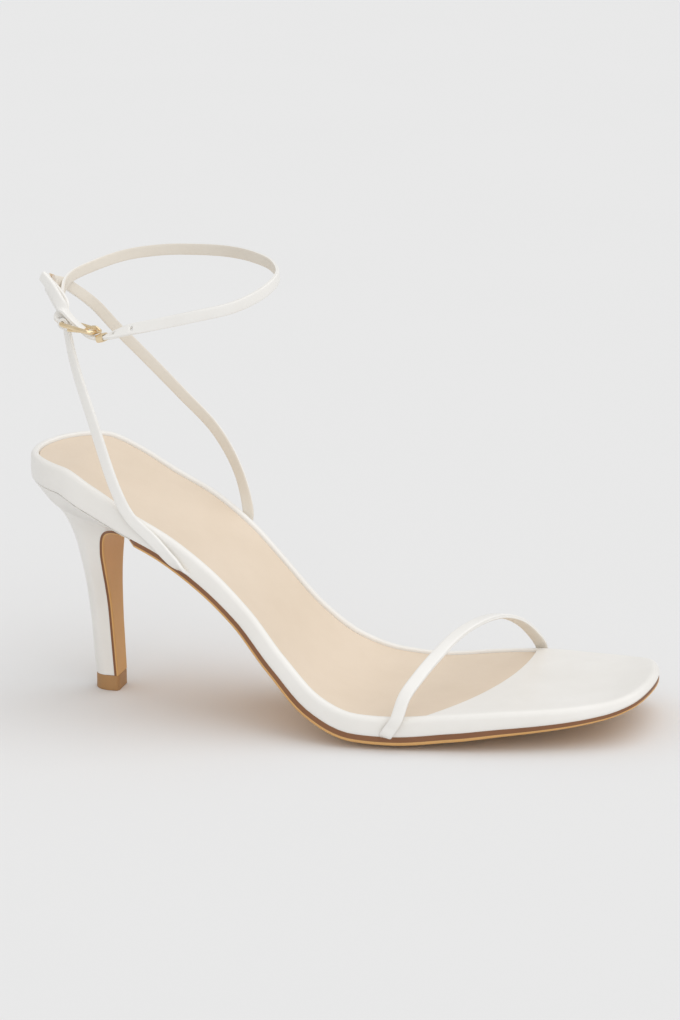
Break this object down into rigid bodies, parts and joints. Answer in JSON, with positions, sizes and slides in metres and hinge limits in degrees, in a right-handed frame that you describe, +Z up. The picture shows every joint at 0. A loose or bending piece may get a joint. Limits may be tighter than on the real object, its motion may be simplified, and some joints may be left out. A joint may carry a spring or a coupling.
{
  "type": "strappy heeled sandal",
  "caption": "Open sandal on a slim high heel, with a thin toe strap, crossing ankle straps and a small buckle.",
  "frame": {"origin": "middle of the heel tip's resting face, on the floor", "axes": "+X to the toe, +Y to the inner side of the foot, +Z up, so the outer side faces -Y"},
  "size_m": [0.2242, 0.0915, 0.1593],
  "materials": {
    "footbed_cover": "smooth white covering, softly glossy",
    "sock_lining": "pale tan, matt",
    "sole": "tan-brown, smooth",
    "heel_cover": "smooth white covering, softly glossy",
    "tip": "brown, satin",
    "strap": "smooth white, softly glossy, folded edges",
    "buckle_metal": "polished pale gold"
  },
  "bodies": {
    "root": {"footbed": "footbed_cover", "insole": "sock_lining", "outsole": "sole", "heel": "heel_cover", "top_piece": "tip", "toe_strap": "strap", "ankle_straps": "strap", "buckle_frame": "buckle_metal", "buckle_prong": "buckle_metal", "buckle_tab": "strap"}
  },
  "joints": []
}
